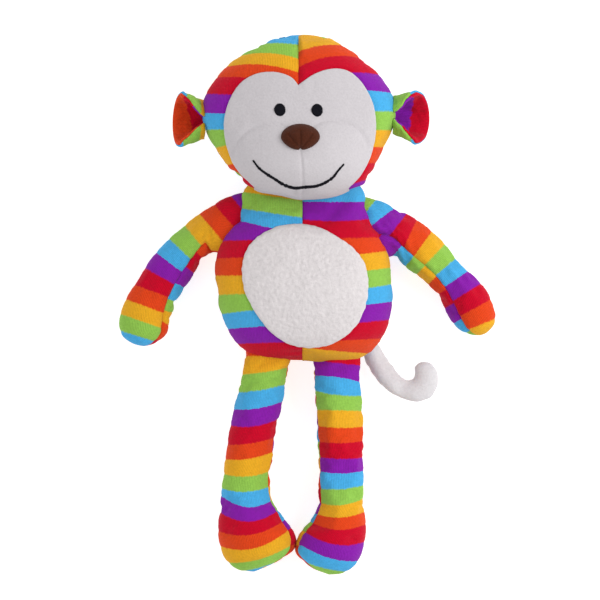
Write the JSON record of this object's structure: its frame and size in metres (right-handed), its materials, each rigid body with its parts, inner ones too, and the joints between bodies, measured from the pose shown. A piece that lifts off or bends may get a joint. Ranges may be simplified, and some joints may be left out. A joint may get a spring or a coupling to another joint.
{
  "type": "stuffed toy monkey",
  "caption": "Striped plush monkey lying on its back, with sewn fabric covers over fibre stuffing; head, arms, legs, tail and ears swing at their seams.",
  "frame": {"origin": "middle of the toy's outline, on the surface it lies on", "axes": "+Y from the feet to the head, +Z out of the toy's front, +X towards the toy's left arm"},
  "size_m": [0.2745, 0.3955, 0.0977],
  "materials": {
    "stripes": "short ribbed velour in six colours",
    "stripes_cool": "short ribbed velour in six colours",
    "white": "short white velour",
    "fleece": "curly off-white fleece",
    "nose": "brown velour",
    "thread": "black satin stitch",
    "fibre": "loose polyester fibre"
  },
  "bodies": {
    "torso": {"body_front_right": "stripes", "body_back_right": "stripes", "body_front_left": "stripes_cool", "body_back_left": "stripes_cool", "belly_patch": "fleece", "body_stuffing": "fibre"},
    "head": {"head_front_right": "stripes", "head_back_right": "stripes", "head_front_left": "stripes_cool", "head_back_left": "stripes_cool", "face_panel": "white", "eye_right": "thread", "eye_left": "thread", "mouth": "thread", "nose_pad": "nose", "nose_stuffing": "fibre", "head_stuffing": "fibre"},
    "ear_right": {"ear_right_back": "stripes_cool", "ear_right_front": "stripes"},
    "ear_left": {"ear_left_back": "stripes_cool", "ear_left_front": "stripes"},
    "arm_right": {"arm_right_outer": "stripes", "arm_right_inner": "stripes", "arm_right_stuffing": "fibre"},
    "arm_left": {"arm_left_outer": "stripes_cool", "arm_left_inner": "stripes_cool", "arm_left_stuffing": "fibre"},
    "leg_right": {"leg_right_front": "stripes", "leg_right_back": "stripes", "leg_right_stuffing": "fibre"},
    "leg_left": {"leg_left_front": "stripes_cool", "leg_left_back": "stripes_cool", "leg_left_stuffing": "fibre"},
    "tail": {"tail_front": "white", "tail_back": "white", "tail_stuffing": "fibre"}
  },
  "joints": [
    {"name": "neck_nod", "type": "hinge", "parent": "torso", "child": "head", "pos_m": [-0.004, 0.0872, 0.036], "axis": [1, 0, 0], "range_deg": [-20, 20]},
    {"name": "right_arm_swing", "type": "hinge", "parent": "torso", "child": "arm_right", "pos_m": [-0.059, 0.0612, 0.028], "axis": [0.3876, 0.9218, 0], "range_deg": [-45, 80]},
    {"name": "left_arm_swing", "type": "hinge", "parent": "torso", "child": "arm_left", "pos_m": [0.054, 0.0582, 0.028], "axis": [0.3752, -0.9269, 0], "range_deg": [-45, 80]},
    {"name": "right_leg_swing", "type": "hinge", "parent": "torso", "child": "leg_right", "pos_m": [-0.03, -0.0408, 0.028], "axis": [-1, 0, 0], "range_deg": [-45, 90]},
    {"name": "left_leg_swing", "type": "hinge", "parent": "torso", "child": "leg_left", "pos_m": [0.0215, -0.0418, 0.028], "axis": [-1, 0, 0], "range_deg": [-45, 90]},
    {"name": "tail_swing", "type": "hinge", "parent": "torso", "child": "tail", "pos_m": [0.045, -0.0313, 0.006], "axis": [-0.9216, -0.3881, 0], "range_deg": [-30, 60]},
    {"name": "right_ear_fold", "type": "hinge", "parent": "head", "child": "ear_right", "pos_m": [-0.0795, 0.1362, 0.041], "axis": [0, 1, 0], "range_deg": [-25, 35]},
    {"name": "left_ear_fold", "type": "hinge", "parent": "head", "child": "ear_left", "pos_m": [0.0675, 0.1382, 0.041], "axis": [0, -1, 0], "range_deg": [-25, 35]}
  ]
}
